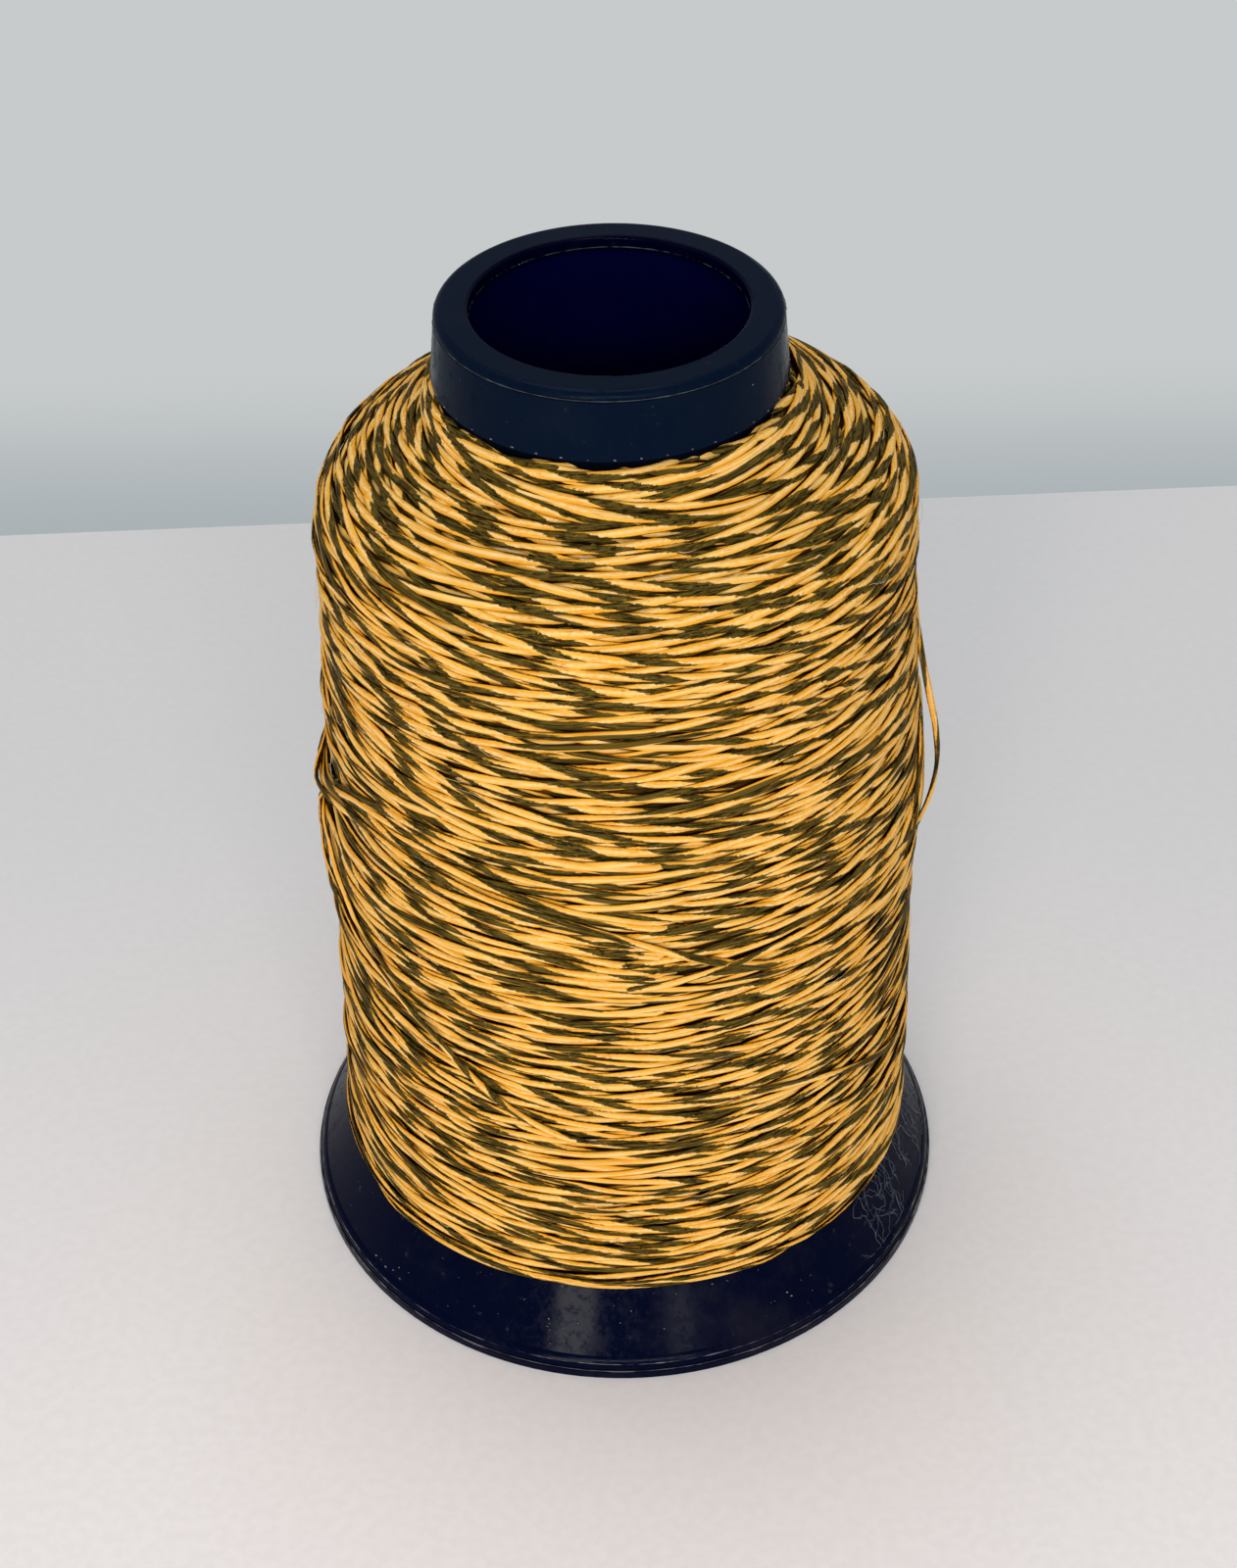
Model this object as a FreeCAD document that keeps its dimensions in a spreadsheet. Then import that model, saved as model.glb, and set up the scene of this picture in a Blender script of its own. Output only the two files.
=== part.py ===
import FreeCAD
import Part
import math
import os
import Sketcher

# A king spool of coarse thread: a tapered tube on a flared base, a cap ring on its top and a crowned
# thread package. Millimetres, +Z up along the spool's axis, origin on the table under the axis.

V = FreeCAD.Vector
AXIS = V(0, 0, 1)
STRAND_SIDES = 6

# Driving dimensions
SIZES = {
    # whole spool
    "base_dia": 70.0,
    "spool_height": 107.2,
    # base: foot ring, rolled bead, conical skirt, top plate and hub
    "foot_height": 0.9,
    "foot_step": 0.25,
    "foot_land": 2.0,
    "bead_top_dia": 68.0,
    "bead_top": 2.3,
    "bead_radius": 1.6,
    "skirt_angle": 56.7,
    "plate_corner_dia": 54.0,
    "plate_round": 3.0,
    "plate_thick": 2.0,
    "hub_top": 15.0,
    "hub_foot": 8.0,
    "hub_wall": 1.8,
    # barrel
    "barrel_foot_dia": 34.8,
    "barrel_taper": 0.93,
    "barrel_wall": 1.9,
    "spigot_dia": 29.8,
    # cap ring
    "bore_dia": 25.0,
    "bore_round": 0.3,
    "cap_thick": 1.5,
    "cap_depth": 6.4,
    "cap_top_dia": 31.2,
    "cap_foot_dia": 32.4,
    "cap_round": 0.75,
    "seam_drop": 0.8,
    "seam_width": 0.3,
    "seam_depth": 0.18,
    # thread package without its outer layer
    "core_low_dia": 60.0,
    "core_low": 11.2,
    "core_low_round": 5.0,
    "core_waist_dia": 58.8,
    "core_waist": 52.0,
    "core_waist_round": 400.0,
    "core_shoulder_dia": 54.5,
    "core_shoulder": 90.1,
    "core_shoulder_round": 5.0,
    "core_neck_dia": 34.6,
    "core_neck": 96.7,
    "core_neck_round": 3.0,
    "core_top": 99.0,
    # outer layer and slack strand
    "strand_dia": 0.8,
    "strand_seat": 0.03,
    "turn_count": 24,
    "first_turn": 0.8,
    "last_turn": 1.6,
}

# Sizes worked out from the sheet, as formulas
BASE_R = "dims.base_dia / 2"
BARREL_FOOT_R = "dims.barrel_foot_dia / 2"
SPIGOT_R = "dims.spigot_dia / 2"
BORE_R = "dims.bore_dia / 2"
CAP_FLOOR = "dims.spool_height - dims.cap_thick"
CAP_FOOT = "dims.spool_height - dims.cap_depth"
SKIRT_FOOT_R = f"{BASE_R} - dims.foot_land"
PLATE_CORNER_R = "dims.plate_corner_dia / 2"
PLATE_CORNER = f"dims.bead_top + (dims.bead_top_dia / 2 - {PLATE_CORNER_R}) * tan(dims.skirt_angle)"
PLATE_UNDER = f"{PLATE_CORNER} - dims.plate_thick"


def barrel_radius(height):
    """The barrel's outer radius at a height, as a formula."""
    return f"{BARREL_FOOT_R} - ({height} - dims.hub_foot) * tan(dims.barrel_taper)"


def skirt_radius(height):
    """The skirt's outer radius at a height, as a formula."""
    return f"dims.bead_top_dia / 2 - ({height} - dims.bead_top) / tan(dims.skirt_angle)"


def new_sheet(doc):
    """The spreadsheet of the driving dimensions, each with its name as alias."""
    sheet = doc.addObject("Spreadsheet::Sheet", "dims")
    for row, (name, value) in enumerate(SIZES.items(), start=1):
        sheet.set(f"A{row}", name)
        sheet.set(f"B{row}", str(value))
        sheet.setAlias(f"B{row}", name)
    return sheet


def origin_plane(body, role):
    """One of the body's own origin planes."""
    return next(o for o in body.Origin.OriginFeatures if o.Role == role)


def arc_between(start, end, radius):
    """An arc in the sketch that keeps its centre on the left of the way from start to end."""
    way = end - start
    left = V(-way.y, way.x, 0).normalize()
    centre = (start + end) * 0.5 + left * math.sqrt(radius**2 - (way.Length / 2) ** 2)
    from_start = start - centre
    from_end = end - centre
    first = math.atan2(from_start.y, from_start.x)
    last = math.atan2(from_end.y, from_end.x)
    return Part.ArcOfCircle(Part.Circle(centre, AXIS, radius), first, last)


def rounding(before, corner, after, radius):
    """Where a rounding leaves the first line, where it joins the second, and which way it turns."""
    back = (before - corner).normalize()
    on = (after - corner).normalize()
    half = back.getAngle(on) / 2
    reach = radius / math.tan(half)
    turns_left = on.cross(back).z > 0
    return corner + back * reach, corner + on * reach, turns_left


def revolve_outline(body, name, corners):
    """Sketch a closed outline on the body's XZ plane and turn it about Z.

    Each corner is (radius, height) in formulas of the sheet. A third item ("round", formula) rounds the
    corner, and ("arc", formula) makes the edge to the next corner an outward arc. The outline runs
    anticlockwise. Returns the sketch and its edges in order, roundings included.
    """
    sketch = body.newObject("Sketcher::SketchObject", f"{name}_outline")
    sketch.AttachmentSupport = (origin_plane(body, "XZ_Plane"), "")
    sketch.MapMode = "FlatFace"
    points = [V(body.evalExpression(c[0]), body.evalExpression(c[1]), 0) for c in corners]
    kinds = [c[2][0] if len(c) > 2 else "sharp" for c in corners]
    radii = [body.evalExpression(c[2][1]) if len(c) > 2 else 0 for c in corners]
    count = len(corners)

    starts = list(points)
    ends = list(points)
    left = [True] * count
    for i in range(count):
        if kinds[i] == "round":
            ends[i], starts[i], left[i] = rounding(points[i - 1], points[i], points[(i + 1) % count], radii[i])

    edges = []
    for i in range(count):
        after = (i + 1) % count
        if kinds[i] == "arc":
            edges.append(sketch.addGeometry(arc_between(starts[i], ends[after], radii[i])))
        else:
            edges.append(sketch.addGeometry(Part.LineSegment(starts[i], ends[after])))

    order = []
    for i in range(count):
        if kinds[i] == "round":
            order.append(round_corner(sketch, edges[i - 1], edges[i], i, corners[i], points[i], ends[i],
                                      starts[i], left[i], radii[i]))
        else:
            sketch.addConstraint(Sketcher.Constraint("Coincident", edges[i - 1], 2, edges[i], 1))
            place_point(sketch, edges[i], 1, i, corners[i], points[i])
        if kinds[i] == "arc":
            bind(sketch, Sketcher.Constraint("Radius", edges[i], radii[i]), f"bend{i}", corners[i][2][1])
        order.append(edges[i])

    turned = body.newObject("PartDesign::Revolution", f"{name}_turned")
    turned.Profile = sketch
    turned.ReferenceAxis = (sketch, ["V_Axis"])
    turned.Angle = 360
    return sketch, order


def bind(sketch, constraint, name, formula):
    """Add a named constraint whose value follows a formula."""
    index = sketch.addConstraint(constraint)
    sketch.renameConstraint(index, name)
    sketch.setExpression(f"Constraints.{name}", formula)


def place_point(sketch, edge, end, number, corner, point):
    """Hold an edge's end at a corner's radius and height."""
    radius = Sketcher.Constraint("DistanceX", -1, 1, edge, end, point.x)
    bind(sketch, radius, f"radius{number}", corner[0])
    if corner[1] == "0":
        sketch.addConstraint(Sketcher.Constraint("PointOnObject", edge, end, -1))
        return
    height = Sketcher.Constraint("DistanceY", -1, 1, edge, end, point.y)
    bind(sketch, height, f"height{number}", corner[1])


def round_corner(sketch, edge_in, edge_out, number, corner, point, leave, join, turns_left, radius):
    """A tangent arc between two lines, whose own corner stays as a construction point."""
    if turns_left:
        arc = sketch.addGeometry(arc_between(leave, join, radius))
        first, last = 1, 2
    else:
        arc = sketch.addGeometry(arc_between(join, leave, radius))
        first, last = 2, 1
    apex = sketch.addGeometry(Part.Point(point), True)
    sketch.addConstraint(Sketcher.Constraint("Tangent", edge_in, 2, arc, first))
    sketch.addConstraint(Sketcher.Constraint("Tangent", edge_out, 1, arc, last))
    sketch.addConstraint(Sketcher.Constraint("PointOnObject", apex, 1, edge_in))
    sketch.addConstraint(Sketcher.Constraint("PointOnObject", apex, 1, edge_out))
    bind(sketch, Sketcher.Constraint("Radius", arc, radius), f"round{number}", corner[2][1])
    place_point(sketch, apex, 1, number, corner, point)
    return arc


def make_barrel(doc):
    """The tapered tube, with a spigot that the cap ring sits on."""
    body = doc.addObject("PartDesign::Body", "barrel")
    inner_foot = f"{BARREL_FOOT_R} - dims.barrel_wall"
    inner_top = f"{barrel_radius(CAP_FLOOR)} - dims.barrel_wall"
    revolve_outline(body, "barrel", [
        (BARREL_FOOT_R, "dims.hub_foot"),
        (barrel_radius(CAP_FOOT), CAP_FOOT),
        (SPIGOT_R, CAP_FOOT),
        (SPIGOT_R, CAP_FLOOR),
        (inner_top, CAP_FLOOR),
        (inner_foot, "dims.hub_foot"),
    ])
    return body


def make_base(doc):
    """The inverted dish: foot ring, bead, conical skirt, sloping plate and a hub round the barrel."""
    body = doc.addObject("PartDesign::Body", "base_skirt")
    hub_r = f"{BARREL_FOOT_R} + dims.hub_wall"
    slope = f"(dims.hub_top - ({PLATE_CORNER})) / ({PLATE_CORNER_R} - {BARREL_FOOT_R})"
    hub_under = f"{PLATE_UNDER} + ({PLATE_CORNER_R} - ({hub_r})) * {slope}"
    inner_corner_r = f"{SKIRT_FOOT_R} - ({PLATE_UNDER}) / tan(dims.skirt_angle)"
    revolve_outline(body, "base", [
        (BASE_R, "0"),
        (BASE_R, "dims.foot_height"),
        (f"{BASE_R} - dims.foot_step", "dims.foot_height", ("arc", "dims.bead_radius")),
        ("dims.bead_top_dia / 2", "dims.bead_top"),
        (PLATE_CORNER_R, PLATE_CORNER, ("round", "dims.plate_round")),
        (barrel_radius("dims.hub_top"), "dims.hub_top"),
        (BARREL_FOOT_R, "dims.hub_foot"),
        (hub_r, "dims.hub_foot"),
        (hub_r, hub_under),
        (inner_corner_r, PLATE_UNDER),
        (SKIRT_FOOT_R, "0"),
    ])
    return body


def make_cap(doc):
    """The cap ring: flat top with a bore lip, rounded shoulder, tapered wall and a parting groove."""
    body = doc.addObject("PartDesign::Body", "top_collar")
    revolve_outline(body, "cap", [
        ("dims.cap_foot_dia / 2", CAP_FOOT),
        ("dims.cap_top_dia / 2", "dims.spool_height", ("round", "dims.cap_round")),
        (BORE_R, "dims.spool_height", ("round", "dims.bore_round")),
        (BORE_R, CAP_FLOOR),
        (SPIGOT_R, CAP_FLOOR),
        (SPIGOT_R, CAP_FOOT),
    ])
    cut_seam(body)
    return body


def cut_seam(body):
    """The parting line under the cap's shoulder, a V groove a little wider than it is deep."""
    seam = "(dims.spool_height - dims.seam_drop)"
    lean = "(dims.cap_foot_dia - dims.cap_top_dia) / 2 / dims.cap_depth"
    wall = f"dims.cap_top_dia / 2 + dims.seam_drop * {lean}"
    corners = [
        (f"{wall} - dims.seam_depth", seam),
        (f"{wall} + dims.seam_depth", f"{seam} - dims.seam_width"),
        (f"{wall} + dims.seam_depth", f"{seam} + dims.seam_width"),
    ]
    points = [V(body.evalExpression(c[0]), body.evalExpression(c[1]), 0) for c in corners]
    sketch = body.newObject("Sketcher::SketchObject", "seam_outline")
    sketch.AttachmentSupport = (origin_plane(body, "XZ_Plane"), "")
    sketch.MapMode = "FlatFace"
    for i in range(3):
        sketch.addGeometry(Part.LineSegment(points[i], points[(i + 1) % 3]))
    for i in range(3):
        sketch.addConstraint(Sketcher.Constraint("Coincident", (i - 1) % 3, 2, i, 1))
        place_point(sketch, i, 1, i, corners[i], points[i])
    groove = body.newObject("PartDesign::Groove", "seam_groove")
    groove.Profile = sketch
    groove.ReferenceAxis = (sketch, ["V_Axis"])
    groove.Angle = 360


def make_core(doc):
    """The inner layers of the package, which fill the space between the barrel, the base and the skin.

    Returns the body, its sketch and the edges of its wound skin, from the base to the collar.
    """
    body = doc.addObject("PartDesign::Body", "thread_core")
    foot = "(dims.core_low - 2)"
    sketch, order = revolve_outline(body, "core", [
        (skirt_radius(foot), foot),
        ("dims.core_low_dia / 2", "dims.core_low", ("round", "dims.core_low_round")),
        ("dims.core_waist_dia / 2", "dims.core_waist", ("round", "dims.core_waist_round")),
        ("dims.core_shoulder_dia / 2", "dims.core_shoulder", ("round", "dims.core_shoulder_round")),
        ("dims.core_neck_dia / 2", "dims.core_neck", ("round", "dims.core_neck_round")),
        (barrel_radius("dims.core_top"), "dims.core_top"),
        (barrel_radius("dims.hub_top"), "dims.hub_top"),
        (PLATE_CORNER_R, PLATE_CORNER, ("round", "dims.plate_round")),
    ])
    skin_edges = 9
    return body, sketch, order[:skin_edges]


def skin_wire(sketch, order):
    """The wound skin as a flat wire of (radius, height), which starts at the base."""
    wire = Part.Wire(Part.__sortEdges__([sketch.Geometry[i].toShape() for i in order]))
    points = wire.discretize(Number=4001)
    if points[0].y > points[-1].y:
        points.reverse()
    return points, wire.Length


def winding_nodes(sheet, points, length):
    """The strand's centre at each quarter turn, and its direction there."""
    quarters = 4 * int(sheet.turn_count)
    lift = sheet.strand_dia / 2 + sheet.strand_seat
    span = length - sheet.first_turn - sheet.last_turn
    step = (len(points) - 1) / length

    def on_skin(quarter):
        at = (sheet.first_turn + span * quarter / quarters) * step
        near = points[round(at)]
        along = points[round(at) + 4] - points[round(at) - 4]
        out = V(along.y, -along.x, 0).normalize()
        return near + out * lift

    nodes = []
    for quarter in range(quarters + 1):
        angle = math.radians(90 * quarter)
        radial = V(math.cos(angle), math.sin(angle), 0)
        here = on_skin(quarter)
        rate = (on_skin(quarter + 0.2) - on_skin(quarter - 0.2)) / (0.4 * math.pi / 2)
        centre = radial * here.x + AXIS * here.y
        heading = radial * rate.x + AXIS.cross(radial) * here.x + AXIS * rate.y
        nodes.append((centre, heading.normalize()))
    return nodes


def tangent_arc(start, heading, end):
    """The arc from start, along heading, to end."""
    chord = end - start
    across = heading.cross(chord).cross(heading).normalize()
    radius = chord.dot(chord) / (2 * chord.dot(across))
    centre = start + across * radius
    middle = centre + ((start + end) * 0.5 - centre).normalize() * radius
    return Part.Arc(start, middle, end).toShape()


def biarc(start, heading, end, arrival):
    """Two arcs that meet in a tangent, from start along heading to end along arrival."""
    gap = end - start
    both = heading + arrival
    square = 2 * (1 - heading.dot(arrival))
    linear = 2 * gap.dot(both)
    reach = (math.sqrt(linear**2 + 4 * square * gap.dot(gap)) - linear) / (2 * square)
    knee = start + heading * reach
    meet = (knee + end - arrival * reach) * 0.5
    return [tangent_arc(start, heading, meet), tangent_arc(meet, (meet - knee).normalize(), end)]


def strand_tube(path, diameter):
    """A strand along a path of edges, its section a flat-sided ring."""
    start = path[0].valueAt(path[0].FirstParameter)
    heading = path[0].tangentAt(path[0].FirstParameter)
    across = heading.cross(AXIS).normalize()
    upright = heading.cross(across).normalize()
    rim = []
    for i in range(STRAND_SIDES):
        angle = 2 * math.pi * (i + 0.5) / STRAND_SIDES
        rim.append(start + (across * math.cos(angle) + upright * math.sin(angle)) * diameter / 2)
    section = Part.makePolygon(rim + [rim[0]])
    return Part.Wire(path).makePipeShell([section], True, False)


def least_gap(path, diameter, apart):
    """The least gap of a tube to itself, between points at least a stretch apart along it."""
    wire = Part.Wire(path)
    count = 900
    points = wire.discretize(Number=count)
    skip = int(apart / wire.Length * count)
    least = min(
        points[i].distanceToPoint(points[k]) for i in range(count) for k in range(i + skip, count)
    )
    return least - diameter


def make_turns(doc, sheet, points, length):
    """The outer layer of the thread: one unbroken strand that winds from the base to the collar."""
    nodes = winding_nodes(sheet, points, length)
    lead = sheet.strand_dia
    first, heading = nodes[0]
    last, arrival = nodes[-1]
    path = [Part.LineSegment(first - heading * lead, first).toShape()]
    for (start, way), (end, way_on) in zip(nodes, nodes[1:]):
        path += biarc(start, way, end, way_on)
    path.append(Part.LineSegment(last, last + arrival * lead).toShape())
    feature = doc.addObject("Part::Feature", "thread_turns")
    feature.Shape = strand_tube(path, sheet.strand_dia)
    feature.Placement = FreeCAD.Placement()
    print(f"winding: {len(nodes) // 4} turns, {Part.Wire(path).Length / 1000:.2f} m,",
          f"least gap to itself {least_gap(path, sheet.strand_dia, 60):.2f} mm")
    return feature


# The slack strand's route, from where it leaves the winding behind the right side to where it lies
# on it again in front
LOOP_ROUTE = [
    V(23.84, 15.48, 78.1),
    V(26.25, 11.41, 77.9),
    V(28.53, 7.11, 76.9),
    V(29.61, 2.33, 74.6),
    V(29.91, -1.57, 70.7),
    V(30.59, -3.11, 65.9),
    V(31.55, -2.91, 61.0),
    V(32.10, -3.30, 56.6),
    V(31.85, -4.20, 52.9),
    V(30.95, -6.59, 51.6),
    V(29.13, -9.86, 52.6),
    V(26.95, -13.73, 54.0),
    V(24.15, -17.55, 54.4),
    V(21.16, -20.79, 54.1),
]


def rounded_route(route):
    """Straight runs joined by tangent arcs, as large as their two runs allow."""
    edges = []
    radii = []
    here = route[0]
    for before, corner, after in zip(route, route[1:], route[2:]):
        back = before - corner
        on = after - corner
        reach = 0.45 * min(back.Length, on.Length)
        radii.append(reach / math.tan((math.pi - back.getAngle(on)) / 2))
        back.normalize()
        on.normalize()
        leave = corner + back * reach
        join = corner + on * reach
        edges.append(Part.LineSegment(here, leave).toShape())
        edges.append(tangent_arc(leave, back * -1, join))
        here = join
    edges.append(Part.LineSegment(here, route[-1]).toShape())
    return edges, radii


def make_loop(doc, sheet):
    """The slack strand that stands off the package at its right side."""
    path, radii = rounded_route(LOOP_ROUTE)
    wire = Part.Wire(path)
    feature = doc.addObject("Part::Feature", "loose_loop")
    feature.Shape = strand_tube(path, sheet.strand_dia)
    feature.Placement = FreeCAD.Placement()
    section = STRAND_SIDES / 2 * math.sin(2 * math.pi / STRAND_SIDES) * (sheet.strand_dia / 2) ** 2
    print(f"slack strand: {wire.Length:.1f} mm, radii {min(radii):.1f} to {max(radii):.1f} mm,",
          f"volume {feature.Shape.Volume / (section * wire.Length):.4f} of section times length")
    return feature


def check(doc, pieces):
    """Stop on a failed object, a loose sketch or a solid that isn't whole."""
    for item in doc.Objects:
        if {"Invalid", "Error"} & set(item.State):
            raise RuntimeError(f"{item.Name} is {item.State}")
        if item.TypeId == "Sketcher::SketchObject" and not item.FullyConstrained:
            raise RuntimeError(f"{item.Name} isn't fully constrained")
    for piece in pieces:
        shape = piece.Shape
        if shape.isNull() or not shape.isValid() or len(shape.Solids) != 1:
            raise RuntimeError(f"{piece.Label} isn't one whole solid")


def main():
    doc = FreeCAD.newDocument("thread_spool")
    sheet = new_sheet(doc)
    doc.recompute()
    pieces = [make_barrel(doc), make_base(doc), make_cap(doc)]
    core, core_sketch, skin = make_core(doc)
    doc.recompute()
    points, length = skin_wire(core_sketch, skin)
    pieces += [core, make_turns(doc, sheet, points, length), make_loop(doc, sheet)]
    for piece in pieces:
        piece.Label = piece.Name
    doc.recompute()
    check(doc, pieces)
    os.makedirs("parts", exist_ok=True)
    for piece in pieces:
        piece.Shape.exportStep(f"parts/{piece.Label}.step")
        print(f"{piece.Label}: {piece.Shape.Volume / 1000:.2f} cm3")


main()
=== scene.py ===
import math

import bpy
import numpy as np
from mathutils import Matrix, Vector


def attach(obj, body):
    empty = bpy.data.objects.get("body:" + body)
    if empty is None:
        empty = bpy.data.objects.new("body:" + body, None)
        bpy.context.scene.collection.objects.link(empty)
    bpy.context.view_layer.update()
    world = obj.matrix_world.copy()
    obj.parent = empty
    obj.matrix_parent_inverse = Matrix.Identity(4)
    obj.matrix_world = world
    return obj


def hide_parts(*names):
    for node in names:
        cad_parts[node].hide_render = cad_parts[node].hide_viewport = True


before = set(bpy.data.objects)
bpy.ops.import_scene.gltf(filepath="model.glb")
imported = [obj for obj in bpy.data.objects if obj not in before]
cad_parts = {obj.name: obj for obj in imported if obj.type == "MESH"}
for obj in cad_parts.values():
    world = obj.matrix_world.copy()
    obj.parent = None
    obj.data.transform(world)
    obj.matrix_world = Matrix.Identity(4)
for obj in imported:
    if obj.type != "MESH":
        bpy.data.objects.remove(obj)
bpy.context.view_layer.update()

MM = 0.001
FRONT = 270               # degrees round the spool where the camera looks at it

# The wound package where its outer strands lie: height, radius and lean towards +X, in mm
PACKAGE = [
    (8.2, 30.0, 0.06), (9.5, 30.4, 0.10), (12.2, 30.8, 0.18), (14.0, 30.82, 0.24), (18.0, 30.68, 0.38),
    (24.5, 30.51, 0.55), (31.5, 30.24, 0.35), (38.5, 29.95, 0.45), (45.5, 30.14, 0.31), (52.5, 30.17, 0.37),
    (59.5, 29.66, 0.51), (66.5, 29.10, 0.49), (73.5, 28.68, 0.41), (80.5, 28.22, 0.28), (85.8, 28.10, 0.28),
    (87.5, 28.08, 0.32), (89.6, 27.60, 0.58), (90.7, 27.01, 0.81), (91.7, 26.09, 1.00), (92.8, 24.78, 1.11),
    (94.9, 21.51, 1.13), (97.0, 18.42, 0.90), (99.0, 16.80, 0.40), (100.8, 16.30, 0.05),
]
UPPER_RADIUS = 28.1       # mm, the package's radius just below its shoulder
CELL = 0.2                # mm, the step of the package's map
ROUND = 960               # cells of the map once round the package
ACROSS = np.arange(-2, 3)    # cells that a strand covers, counted from its middle
STRAND_WIDE = 0.86        # mm, a strand pressed a little flat by the winding
STRAND_THICK = 0.42
STRAND_DOME = 0.32 * np.array([0.45, 0.90, 1.0, 0.90, 0.45])    # mm, how high it stands over those cells
TWISTS_ROUND = 15.982     # turns of the two plies in one turn of the package
PASSES = 84               # traverses of the outer layers, up and down
PAIR_TURNS = 12           # turns of the spool in one pass up and one down
BESIDE = 84               # cells by which each pair of passes ends further round than the last
BOTH_WAYS = 80            # passes laid up and down. Of those after them only the ones going up are laid
RING_STEP = 1.1           # mm between the rings of a strand's mesh
SHORTEST = 1.6            # mm, the shortest length of a strand that is built
LAYER_VERTS = 92000       # vertices after which the next layer begins
UNWRAP_ROWS = 128         # rows in which the unwrapped strands of a layer lie
HAIR_THICK = 0.05         # mm, of stray filaments and lint

# Angle round the spool in degrees, height and lift in mm of the strands that lie across the others
FAN = [
    [(172, 61.5), (183, 59.6), (191, 58.8), (211, 64.0), (225, 65.9), (235, 66.8), (256, 67.8), (285, 67.9)],
    [(172, 60.6), (184, 59.2), (194, 58.9), (212, 62.1), (224, 62.6), (234, 61.9), (256, 61.0), (285, 58.2)],
    [(172, 58.8), (184, 57.8), (193, 57.5), (206, 58.1), (218, 58.3), (230, 58.2), (256, 57.8), (285, 56.0)],
    [(172, 56.8), (184, 56.0), (193, 55.6), (204, 54.4), (216, 54.0), (236, 54.4), (256, 54.9), (285, 53.6)],
    [(172, 57.4), (184, 56.2), (194, 54.2), (201, 50.9), (212, 50.3), (237, 51.2), (256, 52.5), (285, 52.0)],
    [(172, 54.8), (184, 51.5), (196, 47.6), (206, 46.5), (218, 46.7), (244, 48.2), (256, 48.7), (285, 48.0)],
]
SLIPPED = {
    "kink": [(160, 68.0, -0.4), (172, 65.0, -0.3), (181, 62.6, -0.2), (185.5, 60.9, -0.1), (187.3, 59.6, 0.2),
             (188.7, 58.4, 0.65), (189.5, 58.0, 0.6), (193, 58.2, 0.3), (199, 59.2, 0.3), (208, 60.6, 0.2),
             (220, 61.6, 0.2), (238, 61.2, 0.2), (256, 60.2, 0.2), (270, 58.1, 0.2), (281, 55.5, 0.2),
             (292, 52.7, 0.1), (305, 50.4, -0.3)],
    "kink_below": [(170, 63.0, -0.4), (180, 60.6, -0.3), (186, 58.9, 0.1), (190, 57.4, 0.3), (195, 54.4, 0.3),
                   (200, 51.0, 0.3), (208, 47.4, 0.2), (219, 44.6, 0.1), (232, 42.6, -0.3)],
    "left_edge": [(198, 61.0, -0.2), (193, 57.2, 0.3), (191.5, 52.0, 0.5), (195, 48.4, 0.4), (203, 45.7, 0.2),
                  (210, 43.8, 0.1), (224, 41.5, -0.2)],
    "steep": [(160, 44.0, -0.3), (175, 45.2, 0.1), (188, 46.0, 0.4), (199, 47.3, 0.4), (212, 46.4, 0.4),
              (221, 43.8, 0.4), (227, 41.4, 0.4), (233, 39.6, 0.4), (240, 36.4, 0.3), (248, 33.9, 0.2),
              (257, 31.6, 0.1), (268, 29.6, -0.3)],
    "low_right": [(358, 26.8, -0.3), (341, 27.0, 0.1), (333, 27.2, 0.2), (323, 29.8, 0.2), (311, 32.6, 0.2),
                  (299, 34.7, 0.2), (289, 36.2, 0.2), (279, 36.8, 0.1), (262, 37.1, -0.3)],
    "right_bump": [(369, 65.0, -0.3), (361, 61.8, 0.1), (354, 58.5, 0.4), (348, 55.6, 0.3), (340, 53.2, 0.1),
                   (328, 51.4, -0.3)],
    "right_bump_high": [(367, 68.0, -0.3), (359, 64.6, 0.1), (352, 61.2, 0.3), (345.5, 57.9, 0.2),
                        (337, 55.2, 0.0), (325, 53.4, -0.3)],
    "right_bump_low": [(373, 61.0, -0.3), (365, 57.6, 0.1), (357, 55.0, 0.4), (349.5, 52.7, 0.3),
                       (341, 50.9, 0.1), (330, 49.6, -0.3)],
    "slack_end": [(328, 53.9, -0.2), (317, 54.1, 0.05), (311, 54.4, 0.15), (300, 54.0, 0.15),
                  (288, 53.4, 0.1), (275, 52.2, 0.0), (262, 51.4, -0.3)],
    "back": [(60, 70.0, -0.3), (85, 66.0, 0.1), (105, 60.5, 0.2), (120, 57.0, 0.1), (140, 54.5, -0.3)],
}

# The slack strand's route, in mm, from where it leaves the winding behind the right side to where it lies
# on it again in front
SLACK = [
    (23.84, 15.48, 78.1), (26.20, 11.41, 77.9), (28.35, 7.11, 76.9), (29.22, 2.33, 74.6),
    (29.50, -1.57, 70.9), (30.45, -2.91, 66.3), (31.60, -2.91, 61.4), (32.10, -3.30, 57.4),
    (31.60, -4.40, 54.3), (30.50, -6.69, 53.2), (29.00, -9.96, 53.4), (27.10, -13.90, 54.2),
    (24.75, -17.90, 54.4), (21.75, -21.20, 54.1),
]

# The base's skirt above its bead, and the collar's tapered wall, in mm
SKIRT_SLOPE = math.radians(56.7)
SKIRT_LOW_RADIUS, SKIRT_LOW = 34, 2.3
COLLAR_LOW_RADIUS, COLLAR_LOW = 16.2, 100.8
COLLAR_TALL, COLLAR_TAPER = 6.4, 0.6


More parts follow.
